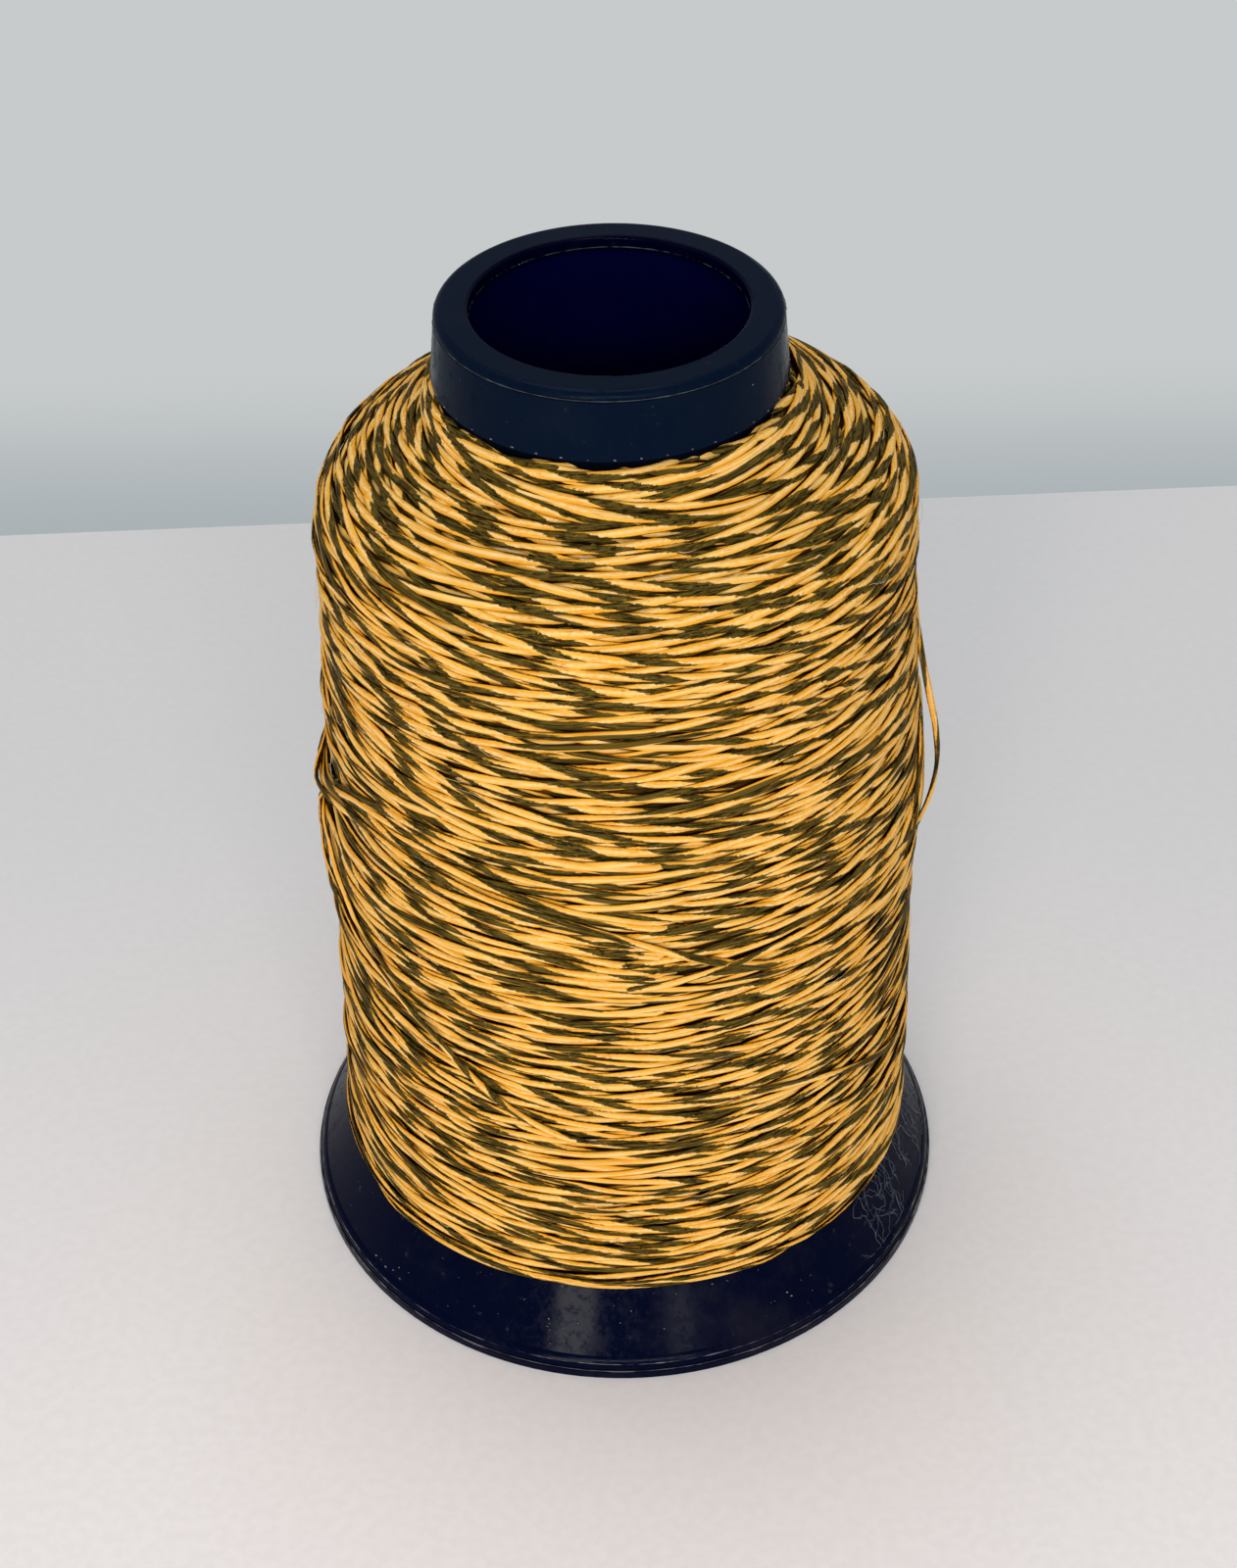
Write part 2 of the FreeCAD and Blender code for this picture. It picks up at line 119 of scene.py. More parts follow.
def smooth_noise(count, reach, seed):
    """Wandering values about 0 with a spread of 1, which change over about reach steps."""
    knots = np.random.default_rng(seed).normal(size=int(count / reach) + 4)
    at = np.linspace(0, len(knots) - 3.001, count)
    low = at.astype(int)
    part = at - low
    ease = part * part * (3 - 2 * part)
    return knots[low] * (1 - ease) + knots[low + 1] * ease


def running_mean(values, reach):
    """The mean over reach steps to each side."""
    padded = np.pad(values, reach, mode="edge")
    total = np.cumsum(np.insert(padded, 0, 0.0))
    span = 2 * reach + 1
    return (total[span:] - total[:-span]) / span


def running_top(values, reach):
    """The highest value within reach steps to each side."""
    padded = np.pad(values, reach, mode="edge")
    return np.max([padded[i:i + len(values)] for i in range(2 * reach + 1)], axis=0)


def lengths(points):
    """How far along a line each of its points lies."""
    return np.insert(np.cumsum(np.linalg.norm(np.diff(points, axis=0), axis=1)), 0, 0.0)


def from_ends(count):
    """How many steps each of count points lies from the nearer end."""
    return np.minimum(np.arange(count), np.arange(count)[::-1])


def tuck(steps, reach, depth, power=1):
    """How far a strand is tucked under, in mm, over the first steps from its end."""
    return -depth * np.clip(1 - steps / reach, 0, 1) ** power


def full_turn(count):
    """The angles of count places evenly round a circle."""
    return np.arange(count) * 2 * math.pi / count


def around_axis(radius, angle, height):
    """Points round the spool's axis."""
    return np.stack(np.broadcast_arrays(radius * np.cos(angle), radius * np.sin(angle), height), axis=-1)


def ring_quads(rings):
    """Quads between rows of vertex numbers, each row closed on itself."""
    on = np.roll(rings, -1, axis=1)
    return np.stack([rings[:-1], on[:-1], on[1:], rings[1:]], axis=-1).reshape(-1, 4)


class Skin:
    """The package's outer skin, along its meridian from the base to the collar, in mm."""

    def __init__(self):
        height, radius, lean = np.array(PACKAGE).T
        along = np.insert(np.cumsum(np.hypot(np.diff(height), np.diff(radius))), 0, 0.0)
        self.length = along[-1]
        self.count = int(self.length / CELL) + 1
        at = np.linspace(0, self.length, self.count)
        self.height = running_mean(np.interp(at, along, height), 5)
        self.radius = running_mean(np.interp(at, along, radius), 5)
        self.lean = running_mean(np.interp(at, along, lean), 12)
        # How far its outward direction points away from the axis, and up
        rise = np.gradient(self.height)
        grow = np.gradient(self.radius)
        size = np.hypot(rise, grow)
        self.out = rise / size
        self.up = -grow / size
        # The traverse slows near the base and more so near the collar
        share = np.linspace(0, 1, self.count)
        slow_low = 0.45 * np.exp(-(share / 0.05) ** 2)
        slow_high = 0.50 * np.exp(-((1 - share) / 0.09) ** 2)
        pace = 1 - slow_low - slow_high
        self.clock = np.insert(np.cumsum(1 / pace[1:]), 0, 0.0)
        self.clock /= self.clock[-1]
        # Turns on the shoulder take less thread, and so fewer turns of its plies
        short = np.clip(1 - self.radius / UPPER_RADIUS, 0, 1)
        self.untwist = np.cumsum(short * np.gradient(self.clock)) * PAIR_TURNS / 2 * TWISTS_ROUND

    def read(self, values, along):
        """One of the skin's values at places along the meridian."""
        return np.interp(along / CELL, np.arange(self.count), values)

    def place(self, angle, along, lift):
        """Points on the skin, or lifted off it."""
        radius = self.read(self.radius, along) + lift * self.read(self.out, along)
        height = self.read(self.height, along) + lift * self.read(self.up, along)
        lean = self.read(self.lean, along)
        return np.stack([lean + radius * np.cos(angle), radius * np.sin(angle), height], axis=1)

    def normal(self, angle, along):
        """The directions straight out of the skin."""
        return around_axis(self.read(self.out, along), angle, self.read(self.up, along))

    def along_at(self, height):
        """How far along the meridian a height lies."""
        return np.interp(height, self.height, np.arange(self.count)) * CELL


class Package:
    """Strands laid one after the other, each on what lies under it.

    A map unrolled from the package holds how high the last strand on each cell stands, and its number.
    """

    def __init__(self, skin):
        self.skin = skin
        self.top = np.zeros((ROUND, skin.count))
        self.owner = np.full((ROUND, skin.count), -1)
        self.strands = []

    def cells(self, turn, along):
        """The map's cells under the middle of a strand."""
        column = np.mod(np.round(turn).astype(int), ROUND)
        row = np.clip(np.round(along / CELL).astype(int), 2, self.skin.count - 3)
        return column, row

    def lay(self, turn, along, lift):
        """Lay a strand. turn gives its places round the map in cells, and along those up it in mm."""
        number = len(self.strands)
        column, row = self.cells(turn, along)
        under = self.top[column[:, None], row[:, None] + ACROSS]
        # It rests on the mean of what lies under it and a little on the highest of it, and bridges dips
        bed = 0.25 * under.max(axis=1) + 0.75 * under.mean(axis=1)
        bed = running_mean(running_top(bed, 2), 11) + lift
        # It leans a third as far as the slope under it, and rolls a little as it goes
        tilt = running_mean((under[:, -1] - under[:, 0]) / (4 * CELL), 9) * 0.35
        tilt += 0.16 * smooth_noise(len(tilt), 45, 5000 + number)
        face = bed[:, None] + STRAND_DOME + tilt[:, None] * ACROSS * CELL
        higher = face > under
        for k, step in enumerate(ACROSS):
            hit = higher[:, k]
            self.top[column[hit], row[hit] + step] = face[hit, k]
            self.owner[column[hit], row[hit] + step] = number
        self.strands.append((turn, along, bed, tilt))

    def shown(self, number):
        """Where a strand still lies on top, and a little further, so that it tucks under its neighbours."""
        turn, along = self.strands[number][:2]
        column, row = self.cells(turn, along)
        seen = (self.owner[column[:, None], row[:, None] + ACROSS] == number).any(axis=1)
        return running_top(seen.astype(float), 8) > 0

    def settle(self):
        """Level out the slow swells of the finished package, which tension presses nearly flat.

        The skin stands for the level, and the depth is how far under it the gaps between strands reach.
        """
        swell = np.apply_along_axis(running_mean, 1, self.top, 14)
        around = np.concatenate([swell[-16:], swell, swell[:16]])
        swell = np.apply_along_axis(running_mean, 0, around, 16)[16:-16]
        mean = running_mean(self.top.mean(axis=0), 20)
        self.level = 0.93 * swell + 0.07 * mean + 0.12
        self.depth = running_mean(np.quantile(self.level - self.top, 0.985, axis=0), 12)


def wind(package):
    """The outer layers: one strand that travels up and down the package as the spool turns.

    Each pair of passes ends a little further round than it began, so each lies beside the one before.
    """
    skin = package.skin
    rng = np.random.default_rng(7)
    turn = 0
    for number in range(PASSES):
        going_up = number % 2 == 0
        count = (PAIR_TURNS * ROUND + BESIDE) // 2 + int(rng.normal() * 2.5)
        low = 0.4 + 0.5 * rng.random()
        high = skin.length - 0.32 - 0.55 * rng.random()
        travel = np.interp(np.linspace(0, 1, count), skin.clock, np.linspace(0, 1, skin.count))
        steps = np.arange(count)
        from_low, from_high = steps, steps[::-1]
        if not going_up:
            travel, from_low, from_high = travel[::-1], from_high, from_low
        # It wavers on its way, less where it nears the collar
        sway = 0.17 * smooth_noise(count, 140, number) + 0.06 * smooth_noise(count, 35, 500 + number)
        along = low + (high - low) * travel + sway * np.clip(from_high / 500, 0.1, 1)
        if going_up or number < BOTH_WAYS:
            # Its ends are tucked under where it turns back
            lift = tuck(from_low, 40, 0.6) + tuck(from_high, 60, 1.3, power=2)
            package.lay(turn + steps, np.clip(along, 0.3, skin.length - 0.3), lift)
        turn += count


def lay_path(package, path):
    """A strand along a path of (angle, height, lift), with its corners eased."""
    angle, height, lift = np.array(path, dtype=float).T
    # A degree round the package is about pi / 6 mm
    way = np.hypot(np.diff(angle) * math.pi / 6, np.diff(height))
    way = np.insert(np.cumsum(way), 0, 0.0)
    at = np.linspace(0, way[-1], int(way[-1] / CELL))
    reach = 11
    turn = running_mean(np.interp(at, way, angle / 360 * ROUND), reach)
    along = running_mean(package.skin.along_at(np.interp(at, way, height)), reach)
    lift = running_mean(np.interp(at, way, lift), reach)
    package.lay(turn, along, lift + tuck(from_ends(len(at)), 25, 1.2))


def lay_slipped_strands(package):
    """Strands that slipped at the left and fan out from a kink, and a few that lie across the rest."""
    rng = np.random.default_rng(3)
    lift = np.array([-0.35, 0.05, 0.25, 0.05, 0.0, 0.0, -0.05, -0.35])
    for share in rng.permutation(np.arange(0.2, len(FAN) - 1, 0.36)):
        low = int(share)
        part = share - low
        line = np.array(FAN[low]) * (1 - part) + np.array(FAN[low + 1]) * part
        line[:, 1] += 0.25 * rng.normal(size=len(line))
        lay_path(package, np.column_stack([line, lift]))
    for path in SLIPPED.values():
        lay_path(package, path)


def patches(turn, along, length, around, up, seed):
    """Values about 0 that change slowly over the package, given on knots round it and up it."""
    knots = np.random.default_rng(seed).normal(size=(around, up + 1))
    x = np.mod(turn, ROUND) / ROUND * around
    y = np.clip(along / length, 0, 0.999) * up
    column, row = x.astype(int) % around, y.astype(int)
    following = (column + 1) % around
    u, v = x % 1, y % 1
    u, v = u * u * (3 - 2 * u), v * v * (3 - 2 * v)
    near = knots[column, row] * (1 - v) + knots[column, row + 1] * v
    far = knots[following, row] * (1 - v) + knots[following, row + 1] * v
    return near * (1 - u) + far * u


def ply_phase(skin, turn, along, number):
    """Turns of the two plies along a strand. Strands that lie side by side keep nearly in step.

    The step drifts in broad and small patches of the package, and a little in each strand by itself.
    """
    broad = patches(turn, along, skin.length, around=10, up=26, seed=91)
    small = patches(turn, along, skin.length, around=40, up=70, seed=92)
    own = 0.20 * smooth_noise(len(turn), 100, 7000 + number) + 0.36 * math.sin(number * 2.4)
    fewer = skin.read(skin.untwist, along) * np.sign(along[-1] - along[0]) * np.sign(turn[-1] - turn[0])
    return turn * TWISTS_ROUND / ROUND - fewer + 0.34 * broad + 0.05 * small + own


# The strand's section: across, and how high, going round
SECTION = np.array([
    (-0.50, 0.00), (-0.42, 0.28), (-0.18, 0.50), (0.18, 0.50), (0.42, 0.28), (0.50, 0.00), (0.28, -0.44),
    (-0.28, -0.44),
])


def strand_rings(points, normals, phase, tilt, wide, thick):
    """Rings of a pressed two-ply strand along points. The ply in front stands a little proud."""
    ahead = np.gradient(points, axis=0)
    ahead /= np.linalg.norm(ahead, axis=1)[:, None]
    side = np.cross(normals, ahead)
    side /= np.linalg.norm(side, axis=1)[:, None]
    up = np.cross(ahead, side)
    lean, upright = np.sin(tilt)[:, None], np.cos(tilt)[:, None]
    side, up = side * upright + up * lean, up * upright - side * lean
    around = np.arange(len(SECTION)) / len(SECTION)
    proud = 0.12
    ply = 1 + proud * np.cos(4 * math.pi * (phase[:, None] + around))
    across = SECTION[:, 0] * wide[:, None]
    rise = SECTION[:, 1] * thick[:, None] * ply
    return points[:, None] + side[:, None] * across[..., None] + up[:, None] * rise[..., None]


class StrandMesh:
    """One mesh of many strand lengths, each a closed tube.

    For each corner of a face, coords holds the turns of the plies and the place round the strand, and run
    how far along all the lengths it lies. ends holds the caps.
    """

    def __init__(self, name):
        self.name = name
        self.verts = []
        self.faces = []
        self.coords = []
        self.run = []
        self.ends = []
        self.count = 0
        self.length = 0.0

    def add(self, rings, phase):
        """Add one length, given as rings of points and the turns of its plies at each."""
        steps, sides = rings.shape[:2]
        here = self.count + np.arange(steps * sides).reshape(steps, sides)
        self.verts.append(rings.reshape(-1, 3))
        self.faces.append(ring_quads(here))
        self.ends += [here[0][::-1], here[-1]]
        self.count += steps * sides
        shape = (steps - 1, sides, 4)
        around = np.arange(sides) / sides
        on = around + 1 / sides
        across = np.broadcast_to(np.stack([around, on, on, around], -1), shape)
        ahead = np.stack([phase[:-1], phase[:-1], phase[1:], phase[1:]], -1)[:, None]
        self.coords.append(np.stack([np.broadcast_to(ahead, shape), across], axis=-1).reshape(-1, 2))
        way = self.length + lengths(rings.mean(axis=1))
        run = np.stack([way[:-1], way[:-1], way[1:], way[1:]], -1)[:, None]
        self.run.append(np.broadcast_to(run, shape).reshape(-1))
        self.length = way[-1]

    def build(self, material):
        """The piece, with the strand's own coordinates and a map on which its lengths lie in rows."""
        quads = np.concatenate(self.faces)
        caps = np.concatenate(self.ends)
        sides = len(self.ends[0])
        sizes = np.concatenate([np.full(len(quads), 4), np.full(len(self.ends), sides)])
        mesh = bpy.data.meshes.new(self.name)
        mesh.vertices.add(self.count)
        mesh.vertices.foreach_set("co", (np.concatenate(self.verts) * MM).astype(np.float32).ravel())
        mesh.loops.add(int(sizes.sum()))
        mesh.loops.foreach_set("vertex_index", np.concatenate([quads.ravel(), caps]).astype(np.int32))
        mesh.polygons.add(len(sizes))
        mesh.polygons.foreach_set("loop_start", (np.cumsum(sizes) - sizes).astype(np.int32))
        mesh.update(calc_edges=True)
        coords = np.concatenate(self.coords)
        blank = np.zeros((len(caps), 2))
        twist = mesh.uv_layers.new(name="strand")
        twist.data.foreach_set("uv", np.concatenate([coords, blank]).astype(np.float32).ravel())
        # Each row has room past its end for a quad that began in it, and a margin to both sides
        reach = self.length / UNWRAP_ROWS
        past, margin = 2.5, 0.08
        run = np.concatenate(self.run).reshape(-1, 4)
        row = np.floor(np.minimum(run[:, :1], self.length - 0.01) / reach)
        flat = np.stack([
            ((run - row * reach) / (reach + past)).ravel(),
            ((row + margin + (1 - 2 * margin) * coords[:, 1].reshape(-1, 4)) / UNWRAP_ROWS).ravel(),
        ], axis=1)
        layout = mesh.uv_layers.new(name="OFBake")
        layout.data.foreach_set("uv", np.concatenate([flat, blank]).astype(np.float32).ravel())
        mesh.uv_layers.active = mesh.uv_layers["strand"]
        mesh.validate()
        return new_piece(self.name, mesh, material)


def new_mesh(name, points, faces):
    """A mesh of arrays of points in mm, and its faces."""
    mesh = bpy.data.meshes.new(name)
    mesh.from_pydata((np.concatenate(points) * MM).tolist(), [], faces)
    return mesh


def new_piece(name, mesh, material, smooth=True):
    """An object of the spool, in the scene and on its one body."""
    mesh.polygons.foreach_set("use_smooth", np.full(len(mesh.polygons), smooth))
    mesh.materials.append(material)
    piece = bpy.data.objects.new(name, mesh)
    bpy.context.scene.collection.objects.link(piece)
    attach(piece, "root")
    return piece


def runs_of(flags):
    """First and last index of each stretch of true flags."""
    edges = np.flatnonzero(np.diff(np.concatenate([[0], flags.astype(int), [0]])))
    return zip(edges[::2], edges[1::2] - 1)


def build_package(material):
    """Wind the outer layers and build what shows of them, the oldest strands first."""
    skin = Skin()
    package = Package(skin)
    wind(package)
    lay_slipped_strands(package)
    package.settle()
    # How far strands may stand off the skin, in mm, at two distances below the collar
    nearing, limit = [skin.length - 9, skin.length - 4], [2.0, 0.30]
    pieces = []
    mesh = StrandMesh("thread_layer_1")
    for number, (turn, along, bed, tilt) in enumerate(package.strands):
        angle = turn * 2 * math.pi / ROUND
        lift = bed + STRAND_THICK / 2 - running_mean(package.level[package.cells(turn, along)], 6)
        lift = np.minimum(lift, np.interp(along, nearing, limit))
        points = skin.place(angle, along, lift)
        normals = skin.normal(angle, along)
        way = lengths(points)
        phase = ply_phase(skin, turn, along, number)
        wide = STRAND_WIDE * (1 + 0.09 * smooth_noise(len(points), 120, 2000 + number))
        thick = STRAND_THICK * (1 + 0.12 * smooth_noise(len(points), 90, 3000 + number))
        for first, last in runs_of(package.shown(number)):
            reach = way[last] - way[first]
            if reach < SHORTEST:
                continue
            even = np.linspace(way[first], way[last], max(int(reach / RING_STEP), 2) + 1)
            pick = np.round(np.interp(even, way, np.arange(len(way)))).astype(int)
            # The last rings grow slimmer and sink a little, so that no end shows blunt
            slim = np.interp(from_ends(len(pick)), [0, 1, 2], [0.30, 0.72, 1.0])
            spots = points[pick] - normals[pick] * (0.22 * (1 - slim))[:, None]
            mesh.add(strand_rings(spots, normals[pick], phase[pick], tilt[pick], wide[pick] * slim,
                                  thick[pick] * slim), phase[pick])
            if mesh.count > LAYER_VERTS:
                pieces.append(mesh.build(material))
                mesh = StrandMesh(f"thread_layer_{len(pieces) + 1}")
    pieces.append(mesh.build(material))
    return skin, package, pieces


def closed_rings(name, rings, material):
    """A piece of rings round the spool's axis, the last joined to the first."""
    index = np.arange(len(rings) * len(rings[0])).reshape(len(rings), -1)
    quads = ring_quads(np.concatenate([index, index[:1]]))
    return new_piece(name, new_mesh(name, rings, quads.tolist()), material)


def inner_body(skin, package, material):
    """The body of the package under its outer strands, closed round the barrel."""
    step, sides = 12, 144
    low_radius, low, high_radius, high = 17.6, 15.2, 16.0, 99.6
    angle = full_turn(sides)
    inset = package.depth + 0.05
    rings = [around_axis(low_radius, angle, low)]
    for i in range(0, skin.count, step):
        rings.append(skin.place(angle, np.full(sides, i * CELL), np.full(sides, -inset[i])))
    rings.append(around_axis(high_radius, angle, high))
    return closed_rings("thread_body", rings, material)


def slack_line():
    """The slack strand's smooth line through its route, as points in mm."""
    curve = bpy.data.curves.new("slack_line", "CURVE")
    curve.dimensions = "3D"
    curve.resolution_u = 16
    spline = curve.splines.new("NURBS")
    spline.points.add(len(SLACK) - 1)
    for point, place in zip(spline.points, SLACK):
        point.co = (*(Vector(place) * MM), 1.0)
    spline.order_u = 3
    spline.use_endpoint_u = True
    guide = bpy.data.objects.new("slack_line", curve)
    bpy.context.scene.collection.objects.link(guide)
    bpy.context.view_layer.update()
    line = bpy.data.meshes.new_from_object(guide)
    points = np.array([v.co for v in line.vertices]) / MM
    bpy.data.objects.remove(guide)
    bpy.data.meshes.remove(line)
    return points


def slack_strand(material):
    """The strand that stands off the package at the right, with its flat side turning as it goes."""
    line = slack_line()
    way = lengths(line)
    step, thick, dark_from, ply_turn = 0.6, 0.44, 3.3, 10.9
    at = np.linspace(0, way[-1], int(way[-1] / step) + 1)
    points = np.stack([np.interp(at, way, line[:, k]) for k in range(3)], axis=1)
    normals = points * np.array([1, 1, 0])
    normals /= np.linalg.norm(normals, axis=1)[:, None]
    share = at / way[-1]
    roll = 0.8 * np.exp(-((share - 0.45) / 0.16) ** 2)
    phase = (at - dark_from) / ply_turn
    full = np.ones(len(at))
    mesh = StrandMesh("slack_strand")
    mesh.add(strand_rings(points, normals, phase, roll, STRAND_WIDE * full, thick * full), phase)
    piece = mesh.build(material)
    return piece


def hair_rings(points):
    """Rings of three points along a hair, thinner to its ends."""
    ahead = np.gradient(points, axis=0)
    ahead /= np.linalg.norm(ahead, axis=1)[:, None] + 1e-9
    no_hair_this_way = [0.31, 0.42, 0.85]
    side = np.cross(ahead, no_hair_this_way)
    side /= np.linalg.norm(side, axis=1)[:, None]
    up = np.cross(ahead, side)
    taper = HAIR_THICK / 2 * (0.45 + 0.55 * np.sin(np.linspace(0.1, math.pi - 0.1, len(points))))
    turn = full_turn(3)
    ring = side[:, None] * np.cos(turn)[:, None] + up[:, None] * np.sin(turn)[:, None]
    return points[:, None] + ring * taper[:, None, None]


def hairs_piece(name, lines, material):
    """A piece of many hairs."""
    verts, faces, count = [], [], 0
    for line in lines:
        rings = hair_rings(line)
        here = count + np.arange(len(rings) * 3).reshape(-1, 3)
        verts.append(rings.reshape(-1, 3))
        faces += ring_quads(here).tolist()
        faces += [here[0][::-1].tolist(), here[-1].tolist()]
        count += len(rings) * 3
    return new_piece(name, new_mesh(name, verts, faces), material)


def skirt_place(angle, height, lift):
    """Points on the base's skirt, or lifted off it, by degrees round the spool and height in mm."""
    radius = SKIRT_LOW_RADIUS - (height - SKIRT_LOW) / math.tan(SKIRT_SLOPE) + lift * math.sin(SKIRT_SLOPE)
    return around_axis(radius, np.radians(angle), height + lift * math.cos(SKIRT_SLOPE))


def skirt_lint(material):
    """A web of fine lint on the right side of the skirt. Later hairs branch off the first ones."""
    rng = np.random.default_rng(21)
    count, roots = 110, 44
    sector, band = (320, 366), (2.8, 9.6)
    tracks = []
    for number in range(count):
        steps = int(rng.integers(9, 30))
        if number < roots:
            angle, height = rng.uniform(*sector), rng.uniform(*band)
        else:
            parent = tracks[number - roots]
            angle, height = parent[:, rng.integers(parent.shape[1])]
        heading = rng.uniform(0, 2 * math.pi) + np.cumsum(rng.normal(size=steps) * 0.42)
        angle = np.clip(angle + np.cumsum(np.cos(heading)) * 0.30, 316, 372)
        height = np.clip(height + np.cumsum(np.sin(heading)) * 0.22, 2.4, 10.4)
        tracks.append(np.array([angle, height]))
    lines = []
    for number, (angle, height) in enumerate(tracks):
        lift = 0.06 + 0.16 * np.abs(smooth_noise(len(angle), 6, 900 + number))
        lines.append(skirt_place(angle, height, lift))
    return hairs_piece("skirt_lint", lines, material)


def thread_hairs(skin, material):
    """Stray filaments that stand off the thread."""
    rng = np.random.default_rng(22)
    count, steps = 170, 8
    lines = []
    for _ in range(count):
        turn = rng.uniform(0, 2 * math.pi) + np.cumsum(rng.normal(0.012, 0.016, steps))
        along = rng.uniform(3, skin.length - 6) + np.cumsum(rng.normal(0, 0.13, steps))
        reach = rng.uniform(0.1, 0.55)
        lift = 0.05 + reach * np.sin(np.linspace(0, math.pi * rng.uniform(0.5, 1.0), steps))
        lines.append(skin.place(turn, along, lift))
    return hairs_piece("thread_hairs", lines, material)


# Specks that catch the light on the skirt: angle in degrees, height and size in mm
SKIRT_SPECKS = [
    (255.1, 5.1, 0.20), (255.3, 4.7, 0.14), (255.0, 4.4, 0.18), (255.5, 4.1, 0.22), (255.2, 3.8, 0.12),
    (255.6, 3.5, 0.20), (255.4, 3.2, 0.16), (255.8, 2.9, 0.22), (255.6, 2.6, 0.14), (287.1, 7.8, 0.26),
    (290.2, 7.7, 0.30), (301.4, 4.6, 0.24), (302.0, 4.1, 0.26), (216.3, 2.6, 0.30), (217.8, 2.7, 0.20),
    (219.5, 2.5, 0.34), (221.4, 2.8, 0.22), (223.6, 2.6, 0.30), (222.4, 3.4, 0.16), (203.0, 4.8, 0.16),
]


def fleck(centre, out, size, rng):
    """A flat irregular crumb that lies on a surface, as vertices and faces."""
    no_surface_this_way = [0.2, 0.3, 0.9]
    side = np.cross(out, no_surface_this_way)
    side /= np.linalg.norm(side)
    up = np.cross(out, side)
    corners = 7
    turn = full_turn(corners)
    reach = size / 2 * rng.uniform(0.6, 1.15, corners)
    rim = centre + np.outer(reach * np.cos(turn), side) + np.outer(0.6 * reach * np.sin(turn), up)
    top = centre + out * size * 0.28
    foot = centre - out * 0.03
    edges = [(i, (i + 1) % corners) for i in range(corners)]
    faces = [(i, on, corners) for i, on in edges] + [(on, i, corners + 1) for i, on in edges]
    return np.concatenate([rim, [top, foot]]), faces


def flecks_piece(name, places, material, seed):
    """A piece of many flecks, each given as (place, outward direction, size)."""
    rng = np.random.default_rng(seed)
    verts, faces, count = [], [], 0
    for centre, out, size in places:
        new, rows = fleck(centre, out / np.linalg.norm(out), size, rng)
        verts.append(new)
        faces += [tuple(count + i for i in row) for row in rows]
        count += len(new)
    return new_piece(name, new_mesh(name, verts, faces), material, smooth=False)


def scattered(seed, count, heights, sizes):
    """Random marks all round the spool, as (angle, height, size)."""
    rng = np.random.default_rng(seed)
    return zip(rng.uniform(0, 360, count), rng.uniform(*heights, count), rng.uniform(*sizes, count))


def skirt_dust(material):
    """Dust and crumbs on the skirt."""
    places = []
    for angle, height, size in [*SKIRT_SPECKS, *scattered(23, 150, (2.4, 9.4), (0.06, 0.17))]:
        out = around_axis(math.sin(SKIRT_SLOPE), math.radians(angle), math.cos(SKIRT_SLOPE))
        places.append((skirt_place(angle, height, 0.0), out, size))
    return flecks_piece("skirt_dust", places, material, 24)


# Burrs on the lip of the bore: angle in degrees, radius, height and size in mm
LIP_BURRS = [
    (156.5, 12.70, 107.12, 0.24), (154.0, 12.62, 107.06, 0.20), (151.5, 12.66, 107.08, 0.14),
    (131.0, 12.46, 106.10, 0.22), (127.0, 12.46, 106.12, 0.18), (124.5, 12.46, 106.10, 0.12),
]


def collar_radius(height):
    """The collar's wall at a height, in mm."""
    return COLLAR_LOW_RADIUS - (height - COLLAR_LOW) / COLLAR_TALL * COLLAR_TAPER


def collar_marks(material):
    """The burrs on the lip, the moulding's nubs above the collar's lower edge, and specks on its wall."""
    places = []
    for angle, radius, height, size in LIP_BURRS:
        places.append((around_axis(radius, math.radians(angle), height), np.array([0, 0, 1]), size))
    nubs, first = 44, FRONT - 180 + 0.8
    marks = [(first + i * 360 / nubs, 100.98, 0.30) for i in range(nubs)]
    marks += [(320.6, 104.5, 0.2), (236.0, 103.2, 0.14)]
    marks += scattered(25, 26, (101.3, 106), (0.06, 0.13))
    upward = 0.09
    for angle, height, size in marks:
        turn = math.radians(angle)
        place = around_axis(collar_radius(height), turn, height)
        places.append((place, around_axis(1, turn, upward), size))
    return flecks_piece("collar_nubs", places, material, 26)


def flash_ring(name, radius, height, wide, seed, material):
    """The ragged line that a mould leaves round a rim, or in a bore where wide is negative. Pale rings of it
    also stand as painted highlights on the bead and at the bore's step.
    """
    count = 720
    rough = 0.35 + 0.55 * smooth_noise(count, 5, seed) + 0.4 * smooth_noise(count, 40, seed + 1)
    rough = np.clip(rough, 0.04, 1.3)
    inward = -math.copysign(1, wide)
    rings = []
    # Across the line, how deep it sits in the wall and how high. Its crest stands out by wide instead
    for inset, rise in ((0.05, -0.07), (0.0, -0.04), (None, 0.0), (0.0, 0.05), (0.05, 0.07)):
        rim = radius + (wide * rough if inset is None else inward * inset)
        rings.append(around_axis(rim, full_turn(count), height + rise * (0.6 + 0.5 * rough)))
    return closed_rings(name, rings, material)


def nodes_of(material):
    """A material's node tree and its shader."""
    material.use_nodes = True
    tree = material.node_tree
    return tree, tree.nodes["Principled BSDF"]


def add_node(tree, kind, **values):
    """A new node with its settings."""
    node = tree.nodes.new(kind)
    for name, value in values.items():
        setattr(node, name, value)
    return node


def feed(tree, socket, value):
    """Give a socket a number, a colour, a vector or another node's output."""
    if isinstance(value, bpy.types.NodeSocket):
        tree.links.new(value, socket)
    elif isinstance(value, tuple):
        socket.default_value = (*value, 1.0) if len(value) < len(socket.default_value) else value
    else:
        socket.default_value = value


def maths(tree, operation, first, second=0.0):
    """A sum, product or other operation on numbers."""
    node = add_node(tree, "ShaderNodeMath", operation=operation)
    feed(tree, node.inputs[0], first)
    feed(tree, node.inputs[1], second)
    return node.outputs[0]


